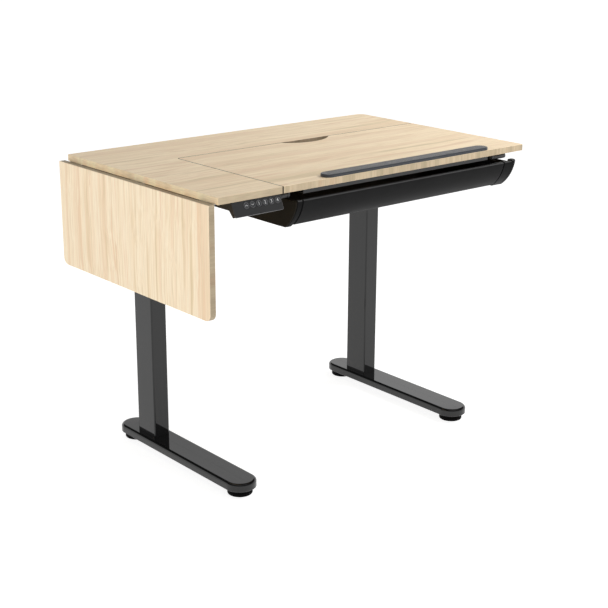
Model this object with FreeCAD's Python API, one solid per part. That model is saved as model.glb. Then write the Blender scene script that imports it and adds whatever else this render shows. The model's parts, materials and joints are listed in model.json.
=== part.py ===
import FreeCAD, Part
import math
import os

# Electric sit-stand desk with a tilting work panel, a drop leaf, a drawer and a handset.
# Everything is laid out in desk coordinates, in millimetres: X runs right from the left edge of
# the fixed top, Y runs back from its front edge, Z runs up from the floor. Each piece is moved on
# writing so that the origin is on the floor, under the middle of the whole desk.

V = FreeCAD.Vector
X_AXIS, Y_AXIS, Z_AXIS = V(1, 0, 0), V(0, 1, 0), V(0, 0, 1)

# ---- driving dimensions ----
top_width = 1100.0
top_depth = 690.0
top_height = 850.0          # height of the top's upper face at rest
board_t = 18.0
strip_width = 200.0         # fixed strip at the left of the tilting panel
rear_depth = 235.0          # fixed strip behind the tilting panel
leaf_drop = 292.0           # leaf, from its hinge edge to its far edge

# ---- clearances ----
seam = 1.6                  # between the tilting panel and the fixed top
moving_gap = 0.3            # between faces of two moving bodies
running_gap = 0.05          # radial, shaft in a bore
glide_gap = 0.3             # between a plastic glide and the tube that slides on it
panel_rest_gap = 0.5        # frame pieces stay this far under the tilting panel
fold_gap = 1.0              # between the raised leaf and the top's edge

# ---- top and leaf ----
rear_corner_r = 25.0
edge_corner_r = 4.0
seam_corner_r = 10.0
notch_chord = 186.0
notch_depth = 40.0
notch_offset = 5.0          # finger notch and book stop, right of the panel's middle
leaf_corner_r = 20.0
hinge_offset = 3.0          # hinge axis under the top's underside and off the leaf's inner face
hinge_knuckle_r = 2.7
hinge_pin_r = 1.2
hinge_leaf_t = 1.2
hinge_plate_reach = 30.0
hinge_length = 60.0
hinge_knuckle_split = 20.0
hinge_room = 9.0            # half-height of the gap cut for the middle knuckle
leaf_hinge_inset = 12.0     # from the top's front and rear edges to the outer hinges

# ---- book stop ----
stop_length = 613.0
stop_width = 43.0
stop_height = 8.0
stop_setback = 0.5
stop_edge_r = 2.0

# ---- legs ----
left_leg_inset = 60.5       # left column's centre from the strip's right edge
right_leg_inset = 142.5     # right column's centre from the top's right edge
leg_rear_inset = 174.0      # both, from the top's rear edge
column_w = 50.0
column_d = 85.0
column_r = 4.0
column_wall = 2.0
bend_r = 0.5                # least radius inside a tube's corner
lift_down = 125.0           # travel from the height at rest to the lowest one
tube_play = 1.0             # between outer and inner tube, filled by the glides
inner_tube_floor = 13.0     # inner tube over the foot when fully down
head_clearance = 12.0       # gear housing over the outer tube when fully down
lower_glide_h = 30.0
collar_h = 30.0
collar_lip = 3.0

# ---- feet ----
foot_ahead = 453.0          # foot's front end ahead of the leg's centre
foot_length = 588.0
foot_width = 90.0
foot_t = 22.0
foot_top = 42.0
foot_edge_r = 8.0
foot_wall = 3.0
boss_r = 12.0
pad_r = 34.5
pad_h = 18.5
pad_chamfer = 2.0
stud_r = 4.0
stud_engage = 12.0

# ---- lifting gear ----
head_w = 62.0
head_d = 92.0
head_drop = 45.0            # housing's underside under the top's underside
head_wall = 3.0
bracket_t = 8.0             # side bracket, between the head and the top
bracket_w = 60.0
bracket_gap = 4.6           # side bracket, behind the tilting panel
bracket_rear_inset = 64.0   # side bracket, from the top's rear edge
nut_tube_r = 13.0
nut_tube_wall = 2.0
nut_r = 15.0
nut_h = 30.0
nut_depth = 50.0            # nut's top under the outer tube's top
spindle_r = 8.0
spindle_neck_r = 5.0
shaft_drop = 26.0           # drive shaft's axis under the top's underside
shaft_flats = 8.0
bevel_r = 14.0
bevel_face = 7.0
motor_r = 26.0
motor_length = 90.0
motor_edge_r = 3.0

# ---- frame under the top ----
beam_d = 44.0
beam_h = 37.0
beam_wall = 2.0
outrigger_d = 32.0
outrigger_h = 30.0
side_rail_x = 34.0
side_rail_w = 20.0
side_rail_h = 20.0
side_rail_inset = 14.0      # from the top's rear edge
side_rail_gap = 4.0         # behind the handset's body
right_reach = 40.0          # from the right outrigger's end to the top's right edge
arm_w = 20.0
arm_h = 19.0
left_arm_inset = 7.0        # left arm's middle, right of the strip's edge
right_arm_inset = 100.0     # right arm's middle, from the top's right edge

# ---- tilting panel's gear ----
tilt_axis_y = 12.0
tilt_axis_drop = 8.0        # axis under the panel's underside
tilt_pin_r = 3.0
tilt_barrel_r = 7.2
left_block_w = 24.0
right_block_w = 48.0
right_block_offset = 7.0    # block's middle, right of its arm's
hinge_block_rear = 28.0     # behind the axis
pin_bite = 18.0             # pin's length inside its block
lug_t = 6.0
lug_gap = 1.5
panel_rail_d = 20.0
panel_rail_h = 10.0
panel_rail_left_gap = 26.0  # from the prop brackets to the rail's ends
panel_rail_right_gap = 13.0
prop_rear_gap = 104.0       # prop's foot ahead of the legs' centre line
prop_bar_t = 5.0
prop_bar_w = 12.0
prop_rod_r = 3.0
prop_roller_r = 4.0
prop_bar_setoff = 14.0      # bar's outer face from the arm's inner face
tilt_max = 45.0

# ---- drawer ----
drawer_left_inset = 40.0    # from the strip's right edge
drawer_right_inset = 30.0   # from the top's right edge
drawer_top_drop = 24.0      # front's top edge under the top's underside
drawer_height = 77.0
drawer_arc_r = 116.0
drawer_arc_y = 109.0
drawer_arc_rise = 16.6      # arc's centre over the front's top edge
drawer_rear_gap = 120.0     # tray's rear wall ahead of the legs' centre line
left_cap_w = 20.0
right_cap_w = 51.0
cap_gap = 4.0
roll_w = 20.0               # thicker roll down the right cap's outer end
roll_depth = 18.0
roll_rise = 3.0             # over the front's top edge
front_wall = 12.0
cap_round_r = 14.0
front_lip = 5.0             # caps reach this much lower than the front
tray_wall = 1.5
side_step = 0.5             # tray's sides, in from the caps' ends
tray_top_drop = 27.0        # tray's walls under the top's underside
slide_h = 27.0
slide_t = 3.2
slide_front_y = 46.0
slide_rear_gap = 10.0       # slides end this far ahead of the tray's rear wall
slide_drop = 44.0           # slide's centre line under the top's underside
hanger_t = 2.0
hanger_setback = 20.0       # behind the slide's front end
slide_lap = 5.0             # inner member's edge inside the outer member's
slide_mid_lap = 3.0
slide_notch_room = 2.0

# ---- handset ----
handset_gap = 9.0           # from the handset's right end to the strip's right edge
handset_width = 151.0
handset_top_y = 0.5
handset_face_h = 37.0
handset_tilt = 25.0         # face leans back from upright
handset_plate_t = 3.0
handset_corner_r = 5.0
handset_rear_y = 60.0
handset_back_drop = 21.0
button_r = 8.2
button_gap = 0.5
button_pitch = 19.4
button_count = 6
button_first = 41.8         # first button's centre from the handset's left end
button_down = 12.6          # buttons' centres down the face from its top edge
button_proud = 0.3
button_travel = 0.8
button_h = 3.6
button_floor_gap = 0.4      # left behind a button that is pressed home
button_well = button_h + button_travel + button_floor_gap - button_proud - handset_plate_t
chin_back = 7.0             # body's lowest edge, behind and below the plate's foot
chin_drop = 2.0
knee_y = 9.5                # where the body's slope meets its flat underside

# ---- control box ----
box_left = 420.0
box_width = 220.0
box_rear_inset = 40.0       # from the top's rear edge
box_depth = 84.0
box_h = 32.0
box_corner_r = 3.0
inlet_w = 28.0
inlet_h = 20.0
inlet_t = 14.0
inlet_wall = 3.0
inlet_pin_r = 1.5
inlet_pitch = 7.0
inlet_pin_rise = 4.0

# ---- screws ----
screw_r = 3.0
screw_head_r = 6.0
screw_head_h = 2.5
screw_bite = 9.0
screw_inset = 10.0          # from the edges of what it holds

# ---- derived places ----
under = top_height - board_t
panel_under = under - panel_rest_gap
arm_bottom = panel_under - arm_h
panel_left = strip_width + seam
panel_rear = top_depth - rear_depth - seam
leg_x = (strip_width - left_leg_inset, top_width - right_leg_inset)
leg_y = top_depth - leg_rear_inset
foot_front_y = leg_y - foot_ahead
head_bottom = under - head_drop
outer_tube_top = head_bottom - lift_down - head_clearance
inner_tube_bottom = foot_top + lift_down + inner_tube_floor
spindle_bottom = inner_tube_bottom
nut_top = outer_tube_top - nut_depth
bracket_front_y = panel_rear + bracket_gap
bracket_rear_y = top_depth - bracket_rear_inset
left_arm_x = strip_width + left_arm_inset
right_arm_x = top_width - right_arm_inset
panel_mid = (strip_width + top_width) / 2 + notch_offset
tilt_axis_z = under - tilt_axis_drop
leaf_axis_x = -(fold_gap + 2 * hinge_offset)
leaf_axis_z = under - hinge_offset
leaf_inner = leaf_axis_x - hinge_offset
leaf_outer = leaf_inner - board_t
leaf_top = leaf_axis_z - leaf_axis_x - fold_gap
shaft_z = under - shaft_drop
prop_foot_y = leg_y - prop_rear_gap
prop_length = (prop_foot_y - tilt_axis_y) / 2
prop_pivot_y = tilt_axis_y + prop_length
drawer_top = under - drawer_top_drop
drawer_bottom = drawer_top - drawer_height
drawer_left = strip_width + drawer_left_inset
drawer_right = top_width - drawer_right_inset
tray_right = drawer_right - roll_w
drawer_front_y = drawer_arc_y - math.sqrt(drawer_arc_r ** 2 - drawer_arc_rise ** 2)
drawer_rear_y = leg_y - drawer_rear_gap
slide_length = drawer_rear_y - slide_rear_gap - slide_front_y
handset_left = strip_width - handset_gap - handset_width
box_front_y = top_depth - box_rear_inset - box_depth
lean = math.radians(handset_tilt)
face_down = V(0, -math.sin(lean), -math.cos(lean))
face_out = V(0, -math.cos(lean), math.sin(lean))
handset_nose = handset_face_h * math.sin(lean) - handset_top_y
origin = V((leaf_outer + top_width) / 2, (top_depth - handset_nose) / 2, 0)
head_rear_y = leg_y + head_d / 2

parts = {}


def add(name, *solids):
    """Keeps one node: a single piece, or a group of identical ones."""
    shape = solids[0] if len(solids) == 1 else Part.makeCompound(list(solids))
    parts[name] = shape.translated(origin * -1)


def box(x0, x1, y0, y1, z0, z1):
    return Part.makeBox(x1 - x0, y1 - y0, z1 - z0, V(x0, y0, z0))


def rod(radius, start, end):
    """Round bar between two points."""
    run = end - start
    return Part.makeCylinder(radius, run.Length, start, run)


def prism(points, direction):
    """Flat polygon pushed along a direction."""
    return Part.Face(Part.makePolygon(points + [points[0]])).extrude(direction)


def round_edges(shape, radius, chosen):
    """Rounds the edges that a test picks out."""
    edges = [e for e in shape.Edges if chosen(e)]
    return shape.makeFillet(radius, edges) if edges else shape


def along(edge, axis):
    """True for a straight edge that runs along an axis."""
    if not isinstance(edge.Curve, Part.Line):
        return False
    return edge.tangentAt(edge.FirstParameter).cross(axis).Length < 1e-6


def near(edge, x=None, y=None, z=None, reach=0.6):
    """True for an edge whose middle is at the given coordinates."""
    middle = edge.BoundBox.Center
    pairs = ((middle.x, x), (middle.y, y), (middle.z, z))
    return all(want is None or abs(got - want) < reach for got, want in pairs)


def tube(cx, cy, w, d, r, wall, z0, z1):
    """Upright rectangular tube with rounded corners."""
    def bar(inset):
        solid = box(cx - w / 2 + inset, cx + w / 2 - inset, cy - d / 2 + inset, cy + d / 2 - inset, z0, z1)
        return round_edges(solid, max(r - inset, bend_r), lambda e: along(e, Z_AXIS))
    return bar(0).cut(bar(wall))


def stadium(cx, y0, y1, w, z0, z1):
    """Upright slab with two half-round ends."""
    r = w / 2
    middle = box(cx - r, cx + r, y0 + r, y1 - r, z0, z1)
    ends = [Part.makeCylinder(r, z1 - z0, V(cx, y, z0)) for y in (y0 + r, y1 - r)]
    return middle.multiFuse(ends).removeSplitter()


def screw(x, y, z, up=1):
    """Pan-head screw: head against a face at z, thread going up or down into the wood."""
    head = rod(screw_head_r, V(x, y, z), V(x, y, z - up * screw_head_h))
    thread = rod(screw_r, V(x, y, z), V(x, y, z + up * screw_bite))
    return head.fuse(thread)


def sunk(board, places):
    """Board with pilot holes that its screws fill."""
    holes = [rod(screw_r, V(x, y, under), V(x, y, under + screw_bite)) for x, y in places]
    return board.cut(Part.makeCompound(holes))


# ---- places of the screws that hold the fixed top ----
bracket_screw_y = (head_rear_y + screw_inset, bracket_rear_y - screw_inset)
bracket_screw_dx = bracket_w / 2 - screw_inset
bracket_screw_x = [x + side * bracket_screw_dx for x in leg_x for side in (-1, 1)]
bracket_screws = [(x, y) for x in bracket_screw_x for y in bracket_screw_y]


# ---- tops ----
def fixed_board():
    """One L-shaped board: the left strip and the strip behind the panel."""
    z1 = under + board_t
    strip = box(0, strip_width, 0, top_depth, under, z1)
    rear = box(0, top_width, top_depth - rear_depth, top_depth, under, z1)
    board = strip.fuse(rear).removeSplitter()
    board = round_edges(board, rear_corner_r, lambda e: along(e, Z_AXIS) and near(e, top_width, top_depth))
    inner_r = seam_corner_r + seam
    board = round_edges(board, inner_r,
                        lambda e: along(e, Z_AXIS) and near(e, strip_width, top_depth - rear_depth))
    return sunk(board, bracket_screws)


def notch():
    """Finger notch: a round bite out of the panel's rear edge."""
    r = ((notch_chord / 2) ** 2 + notch_depth ** 2) / (2 * notch_depth)
    return Part.makeCylinder(r, board_t, V(panel_mid, panel_rear - notch_depth + r, under))


def tilt_board():
    board = box(panel_left, top_width, 0, panel_rear, under, under + board_t)
    board = round_edges(board, edge_corner_r, lambda e: along(e, Z_AXIS) and near(e, top_width, 0))
    board = round_edges(board, seam_corner_r, lambda e: along(e, Z_AXIS) and near(e, panel_left, panel_rear))
    return board.cut(notch())


def leaf_board():
    bottom = leaf_top - leaf_drop
    board = box(leaf_outer, leaf_inner, 0, top_depth, bottom, leaf_top)
    return round_edges(board, leaf_corner_r, lambda e: along(e, X_AXIS) and near(e, z=bottom))


def book_stop():
    x0 = panel_mid - stop_length / 2
    r = stop_width / 2
    z0 = top_height
    middle = box(x0 + r, x0 + stop_length - r, stop_setback, stop_setback + stop_width, z0, z0 + stop_height)
    end_x = (x0 + r, x0 + stop_length - r)
    ends = [Part.makeCylinder(r, stop_height, V(x, stop_setback + r, z0)) for x in end_x]
    bar = middle.multiFuse(ends).removeSplitter()
    return round_edges(bar, stop_edge_r, lambda e: near(e, z=z0 + stop_height, reach=0.01))


add("fixed_board", fixed_board())
add("tilt_board", tilt_board())
add("leaf_board", leaf_board())
add("book_stop", book_stop())


# ---- leaf hinges: three knuckles each, the middle one on the leaf ----
def leaf_hinges():
    """Fixed halves, leaf halves and pins of the three hinges."""
    axis_x, axis_z = leaf_axis_x, leaf_axis_z
    bore = hinge_pin_r + running_gap
    fixed, moving, pins = [], [], []
    first = leaf_hinge_inset
    last = top_depth - leaf_hinge_inset - hinge_length
    for y0 in (first, (first + last) / 2, last):
        y1 = y0 + hinge_knuckle_split
        y2 = y1 + hinge_knuckle_split
        y3 = y0 + hinge_length
        plate = box(axis_x, hinge_plate_reach, y0, y3, under - hinge_leaf_t, under)
        barrel = rod(hinge_knuckle_r, V(axis_x, y0, axis_z), V(axis_x, y3, axis_z))
        swing = hinge_knuckle_r + moving_gap
        gap = box(axis_x - hinge_room, axis_x + swing, y1 - moving_gap, y2 + moving_gap,
                  axis_z - hinge_room, axis_z + hinge_room)
        hole = rod(bore, V(axis_x, y0, axis_z), V(axis_x, y3, axis_z))
        fixed.append(plate.fuse(barrel).cut(gap).cut(hole))
        flap = box(leaf_inner, leaf_inner + hinge_leaf_t, y1, y2, axis_z - hinge_plate_reach, axis_z)
        knuckle = rod(hinge_knuckle_r, V(axis_x, y1, axis_z), V(axis_x, y2, axis_z))
        moving.append(flap.fuse(knuckle).cut(hole))
        pins.append(rod(hinge_pin_r, V(axis_x, y0, axis_z), V(axis_x, y3, axis_z)))
    add("leaf_hinge_fixed_halves", *fixed)
    add("leaf_hinge_moving_halves", *moving)
    add("leaf_hinge_pins", *pins)


leaf_hinges()


# ---- legs ----
def foot(cx):
    """Pressed foot, hollow underneath, with bosses for the levelling studs."""
    y1 = foot_front_y + foot_length
    z0 = foot_top - foot_t
    body = stadium(cx, foot_front_y, y1, foot_width, z0, foot_top)
    body = round_edges(body, foot_edge_r, lambda e: near(e, z=foot_top, reach=0.01))
    pocket_top = foot_top - foot_wall
    w = foot_wall
    pocket = stadium(cx, foot_front_y + w, y1 - w, foot_width - 2 * w, z0, pocket_top)
    pocket = round_edges(pocket, foot_edge_r - w, lambda e: near(e, z=pocket_top, reach=0.01))
    bosses = [rod(boss_r, V(cx, y, z0), V(cx, y, foot_top - foot_wall / 2)) for y in pad_y]
    threads = [rod(stud_r, V(cx, y, z0), V(cx, y, z0 + stud_engage)) for y in pad_y]
    return body.cut(pocket).multiFuse(bosses).cut(Part.makeCompound(threads))


def levelling_pad(cx, y):
    """Round plastic foot under the stud."""
    disc = Part.makeCylinder(pad_r, pad_h, V(cx, y, 0))
    disc = disc.makeChamfer(pad_chamfer, [e for e in disc.Edges if near(e, z=pad_h, reach=0.01)])
    return disc.cut(rod(stud_r, V(cx, y, pad_h / 2), V(cx, y, pad_h)))


def levelling_stud(cx, y):
    """Threaded stud with its collar between the pad and the foot."""
    z0 = foot_top - foot_t
    shank = rod(stud_r, V(cx, y, pad_h / 2), V(cx, y, z0 + stud_engage))
    collar = rod(2 * stud_r, V(cx, y, pad_h), V(cx, y, z0 - moving_gap))
    return shank.fuse(collar)


def ring(outer_r, inner_r, cx, z0, z1):
    """Upright round tube on a leg's axis."""
    start, end = V(cx, leg_y, z0), V(cx, leg_y, z1)
    return rod(outer_r, start, end).cut(rod(inner_r, start, end))


pad_y = (foot_front_y + foot_width / 2, foot_front_y + foot_length - foot_width / 2)
inner_w = column_w - 2 * column_wall - 2 * tube_play
inner_d = column_d - 2 * column_wall - 2 * tube_play


def legs():
    """Feet, columns, glides and the tubes that hold the lifting nuts."""
    collars, glides, nut_tubes, nuts, pads, studs = [], [], [], [], [], []
    for side, cx in zip(("left", "right"), leg_x):
        add("foot_" + side, foot(cx))
        add("column_outer_" + side, tube(cx, leg_y, column_w, column_d, column_r, column_wall,
                                         foot_top, outer_tube_top))
        add("column_inner_" + side, tube(cx, leg_y, inner_w, inner_d, column_r - column_wall, column_wall,
                                         inner_tube_bottom, head_bottom))
        slack = tube_play - glide_gap
        inside_w, inside_d = column_w - 2 * column_wall, column_d - 2 * column_wall
        sleeve = tube(cx, leg_y, inside_w, inside_d, column_r - column_wall, slack,
                      outer_tube_top - collar_h, outer_tube_top)
        lip = tube(cx, leg_y, column_w, column_d, column_r, column_wall + slack,
                   outer_tube_top, outer_tube_top + collar_lip)
        collars.append(sleeve.fuse(lip))
        glides.append(tube(cx, leg_y, inner_w + 2 * slack, inner_d + 2 * slack, column_r - column_wall, slack,
                           inner_tube_bottom, inner_tube_bottom + lower_glide_h))
        nut_bottom = nut_top - nut_h
        nut_tubes.append(ring(nut_tube_r, nut_tube_r - nut_tube_wall, cx, foot_top, nut_bottom))
        nuts.append(ring(nut_r, spindle_r + running_gap, cx, nut_bottom, nut_top))
        pads += [levelling_pad(cx, y) for y in pad_y]
        studs += [levelling_stud(cx, y) for y in pad_y]
    add("column_collars", *collars)
    add("lower_glides", *glides)
    add("nut_tubes", *nut_tubes)
    add("lifting_nuts", *nuts)
    add("levelling_pads", *pads)
    add("levelling_studs", *studs)


legs()


# ---- lifting gear ----
def hexagon_bar(flats, start, end):
    """Hexagonal bar along X."""
    r = flats / math.sqrt(3)
    corners = [start + V(0, r * math.cos(a), r * math.sin(a)) for a in (math.pi * k / 3 for k in range(6))]
    return prism(corners, end - start)


def leg_head(cx, side):
    """Gear housing on top of a leg, with bores for the spindle and the drive shaft."""
    z1 = under - bracket_t
    outside = box(cx - head_w / 2, cx + head_w / 2, leg_y - head_d / 2, leg_y + head_d / 2, head_bottom, z1)
    inside = box(cx - head_w / 2 + head_wall, cx + head_w / 2 - head_wall,
                 leg_y - head_d / 2 + head_wall, leg_y + head_d / 2 - head_wall,
                 head_bottom + head_wall, z1 - head_wall)
    bore = rod(spindle_neck_r + running_gap, V(cx, leg_y, head_bottom), V(cx, leg_y, head_bottom + head_wall))
    port_r = shaft_flats / math.sqrt(3) + moving_gap
    port = rod(port_r, V(cx, leg_y, shaft_z), V(cx + side * head_w / 2, leg_y, shaft_z))
    return outside.cut(inside).cut(bore).cut(port)


def spindle(cx):
    """Lead screw with a plain neck and its bevel gear, standing under the drive shaft."""
    gear_top = shaft_z - (bevel_r - bevel_face)
    gear_bottom = shaft_z - bevel_r - moving_gap
    screw_bar = rod(spindle_r, V(cx, leg_y, spindle_bottom), V(cx, leg_y, head_bottom - moving_gap))
    neck = rod(spindle_neck_r, V(cx, leg_y, head_bottom - moving_gap), V(cx, leg_y, gear_bottom))
    cone = Part.makeCone(bevel_r, bevel_r - bevel_face, bevel_face, V(cx, leg_y, gear_bottom))
    return screw_bar.fuse(neck).fuse(cone)


def drive_shaft():
    """Hexagonal shaft from leg to leg, with a bevel pinion over each spindle."""
    start = V(leg_x[0] - head_w / 2 + head_wall + moving_gap, leg_y, shaft_z)
    end = V(leg_x[1] + head_w / 2 - head_wall - moving_gap, leg_y, shaft_z)
    bar = hexagon_bar(shaft_flats, start, end)
    pinions = []
    for cx in leg_x:
        near_face = cx + bevel_r - bevel_face + moving_gap
        cone = Part.makeCone(bevel_r - bevel_face, bevel_r, bevel_face, V(near_face, leg_y, shaft_z), X_AXIS)
        pinions.append(cone.cut(bar))
    return [bar] + pinions


def motor():
    """Motor lying behind the right-hand gear housing."""
    y0 = leg_y + head_d / 2
    z = under - bracket_t - motor_r
    can = rod(motor_r, V(leg_x[1], y0, z), V(leg_x[1], y0 + motor_length, z))
    return can.makeFillet(motor_edge_r, [e for e in can.Edges if near(e, y=y0 + motor_length, reach=0.01)])


add("gear_housing_left", leg_head(leg_x[0], 1))
add("gear_housing_right", leg_head(leg_x[1], -1))
add("spindle_left", spindle(leg_x[0]))
add("spindle_right", spindle(leg_x[1]))
add("drive_shaft", *drive_shaft())
add("motor", motor())


# ---- frame under the top ----
def crossbeam():
    """Hollow beam between the two gear housings; the drive shaft turns inside it."""
    x0, x1 = leg_x[0] + head_w / 2, leg_x[1] - head_w / 2
    y0, y1 = leg_y - beam_d / 2, leg_y + beam_d / 2
    w = beam_wall
    return box(x0, x1, y0, y1, under - beam_h, under).cut(
        box(x0, x1, y0 + w, y1 - w, under - beam_h + w, under - w))


def hollow_bar(x0, x1, y0, y1, z0, z1, wall, axis):
    """Rectangular tube along X or Y."""
    inner = [x0 + wall, x1 - wall, y0 + wall, y1 - wall, z0 + wall, z1 - wall]
    open_pair = 0 if axis == "x" else 2
    inner[open_pair], inner[open_pair + 1] = (x0, x1) if axis == "x" else (y0, y1)
    return box(x0, x1, y0, y1, z0, z1).cut(box(*inner))


def side_bracket(cx):
    """Flat bracket on a gear housing that carries the top."""
    z0 = under - bracket_t
    plate = box(cx - bracket_w / 2, cx + bracket_w / 2, bracket_front_y, bracket_rear_y, z0, under)
    mine = [place for place in bracket_screws if abs(place[0] - cx) < bracket_w / 2]
    holes = [rod(screw_r, V(x, y, z0), V(x, y, under)) for x, y in mine]
    return plate.cut(Part.makeCompound(holes))


def outriggers():
    """Short tubes from the gear housings out to the side rail and to the right-hand arm."""
    y0, y1 = leg_y - outrigger_d / 2, leg_y + outrigger_d / 2
    z0 = under - outrigger_h
    left = hollow_bar(side_rail_x + side_rail_w, leg_x[0] - head_w / 2, y0, y1, z0, under, beam_wall, "x")
    right = hollow_bar(leg_x[1] + head_w / 2, top_width - right_reach, y0, y1, z0, under, beam_wall, "x")
    clear = bracket_t + moving_gap
    return [bar.cut(box(cx - bracket_w / 2, cx + bracket_w / 2, y0, y1, under - clear, under))
            for bar, cx in ((left, leg_x[0]), (right, leg_x[1]))]


def side_rail():
    """Tube along the top's left edge, from behind the handset to the rear."""
    return hollow_bar(side_rail_x, side_rail_x + side_rail_w, handset_rear_y + side_rail_gap,
                      top_depth - side_rail_inset, under - side_rail_h, under, beam_wall, "y")


def tilt_arm(cx, rear_y):
    """Arm from the frame forward to a hinge block, slotted for the prop's foot."""
    y0 = tilt_axis_y + hinge_block_rear
    x0, x1 = cx - arm_w / 2, cx + arm_w / 2
    arm = hollow_bar(x0, x1, y0, rear_y, arm_bottom, panel_under, beam_wall, "y")
    r = prop_roller_r + moving_gap
    front = tilt_axis_y + 2 * prop_length * math.cos(math.radians(tilt_max)) - r
    slot = box(x0, x1, front, prop_foot_y, tilt_axis_z - r, tilt_axis_z + r)
    ends = [rod(r, V(x0, y, tilt_axis_z), V(x1, y, tilt_axis_z)) for y in (front, prop_foot_y)]
    return arm.cut(slot.multiFuse(ends))


def hinge_block(cx, width):
    """Block with a rounded nose that carries the panel's hinge pin."""
    x0, x1 = cx - width / 2, cx + width / 2
    nose = rod(tilt_barrel_r, V(x0, tilt_axis_y, tilt_axis_z), V(x1, tilt_axis_y, tilt_axis_z))
    back = box(x0, x1, tilt_axis_y, tilt_axis_y + hinge_block_rear,
               tilt_axis_z - tilt_barrel_r, tilt_axis_z + tilt_barrel_r)
    return nose.fuse(back).removeSplitter()


def tilt_pin(face, inward):
    """Pin pressed into a hinge block's inner face, reaching through the panel's lug."""
    return rod(tilt_pin_r, V(face - inward * pin_bite, tilt_axis_y, tilt_axis_z),
               V(face + inward * (2 * lug_gap + lug_t), tilt_axis_y, tilt_axis_z))


add("crossbeam", crossbeam())
add("side_brackets", *[side_bracket(cx) for cx in leg_x])
add("outriggers", *outriggers())
add("left_side_rail", side_rail())
add("tilt_arm_left", tilt_arm(left_arm_x, leg_y - beam_d / 2))
add("tilt_arm_right", tilt_arm(right_arm_x, leg_y - outrigger_d / 2))
add("board_screws", *[screw(x, y, under - bracket_t) for x, y in bracket_screws])

left_lug_face = left_arm_x + left_block_w / 2
right_block_x = right_arm_x + right_block_offset
right_lug_face = right_block_x - right_block_w / 2
pins = [tilt_pin(left_lug_face, 1), tilt_pin(right_lug_face, -1)]
add("hinge_blocks", hinge_block(left_arm_x, left_block_w).cut(pins[0]),
    hinge_block(right_block_x, right_block_w).cut(pins[1]))
add("hinge_pins", *pins)


# ---- tilting panel's own pieces ----
def lug(face, inward):
    """Eye under the panel that turns on the hinge pin."""
    x0, x1 = sorted((face + inward * lug_gap, face + inward * (lug_gap + lug_t)))
    eye = rod(tilt_barrel_r, V(x0, tilt_axis_y, tilt_axis_z), V(x1, tilt_axis_y, tilt_axis_z))
    web = box(x0, x1, tilt_axis_y - tilt_barrel_r, tilt_axis_y + tilt_barrel_r, tilt_axis_z, under)
    bore = rod(tilt_pin_r + running_gap, V(x0, tilt_axis_y, tilt_axis_z), V(x1, tilt_axis_y, tilt_axis_z))
    return eye.fuse(web).cut(bore)


def prop_bracket(x0, x1):
    """Eye under the panel for a prop bar's pivot."""
    r = prop_bar_w / 2
    eye = rod(r, V(x0, prop_pivot_y, tilt_axis_z), V(x1, prop_pivot_y, tilt_axis_z))
    web = box(x0, x1, prop_pivot_y - r, prop_pivot_y + r, tilt_axis_z, under)
    bore = rod(prop_rod_r + running_gap, V(x0, prop_pivot_y, tilt_axis_z), V(x1, prop_pivot_y, tilt_axis_z))
    return eye.fuse(web).cut(bore)


def panel_rail():
    """Stiffening tube under the panel's front edge, between the prop brackets."""
    x0 = left_bar_x + prop_bar_t + lug_t + panel_rail_left_gap
    x1 = right_bar_x - prop_bar_t - lug_t - panel_rail_right_gap
    y0 = tilt_axis_y - panel_rail_d / 2
    return hollow_bar(x0, x1, y0, y0 + panel_rail_d, under - panel_rail_h, under, beam_wall, "x")


left_bar_x = left_arm_x + arm_w / 2 + prop_bar_setoff
right_bar_x = right_arm_x - arm_w / 2 - prop_bar_setoff


def prop_bar(outer_x, inward):
    """Flat bar from the panel's pivot to the foot rod."""
    x0, x1 = sorted((outer_x, outer_x + inward * prop_bar_t))
    r = prop_bar_w / 2
    bar = box(x0, x1, prop_pivot_y, prop_foot_y, tilt_axis_z - r, tilt_axis_z + r)
    lines = [(V(x0, y, tilt_axis_z), V(x1, y, tilt_axis_z)) for y in (prop_pivot_y, prop_foot_y)]
    ends = [rod(r, start, end) for start, end in lines]
    holes = [rod(prop_rod_r, start, end) for start, end in lines]
    return bar.multiFuse(ends).cut(Part.makeCompound(holes))


def prop():
    """Bars, rods and rollers that hold the panel up."""
    bars = [prop_bar(left_bar_x, 1), prop_bar(right_bar_x, -1)]
    rods, rollers = [], []
    foot_start = V(left_arm_x - arm_w / 2, prop_foot_y, tilt_axis_z)
    foot_end = V(right_arm_x + arm_w / 2, prop_foot_y, tilt_axis_z)
    rods.append(rod(prop_rod_r, foot_start, foot_end))
    for outer_x, inward in ((left_bar_x, 1), (right_bar_x, -1)):
        rods.append(rod(prop_rod_r, V(outer_x, prop_pivot_y, tilt_axis_z),
                        V(outer_x + inward * (prop_bar_t + lug_gap + lug_t), prop_pivot_y, tilt_axis_z)))
    for cx in (left_arm_x, right_arm_x):
        wheel = rod(prop_roller_r, V(cx - arm_w / 2, prop_foot_y, tilt_axis_z),
                    V(cx + arm_w / 2, prop_foot_y, tilt_axis_z))
        rollers.append(wheel.cut(rods[0]))
    add("prop_bars", *bars)
    add("prop_rods", *rods)
    add("prop_rollers", *rollers)


def panel_brackets():
    """Hinge lugs and prop brackets screwed under the panel."""
    left = prop_bracket(left_bar_x + prop_bar_t + moving_gap, left_bar_x + prop_bar_t + lug_t)
    right = prop_bracket(right_bar_x - prop_bar_t - lug_t, right_bar_x - prop_bar_t - moving_gap)
    return [lug(left_lug_face, 1), lug(right_lug_face, -1), left, right]


add("panel_brackets", *panel_brackets())
add("panel_rail", panel_rail())
prop()


# ---- drawer ----
def front_profile(depth):
    """Side view of the curved front: an arc that leans back towards its foot, offset inward by a depth."""
    centre_z = drawer_top + drawer_arc_rise
    r = drawer_arc_r - depth
    def at(z):
        return drawer_arc_y - math.sqrt(r ** 2 - (centre_z - z) ** 2)
    return at


def profile_arc(x, profile, z0, z1):
    """Arc of a side view between two heights."""
    middle = (z0 + z1) / 2
    return Part.Arc(V(x, profile(z0), z0), V(x, profile(middle), middle), V(x, profile(z1), z1)).toShape()


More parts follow.
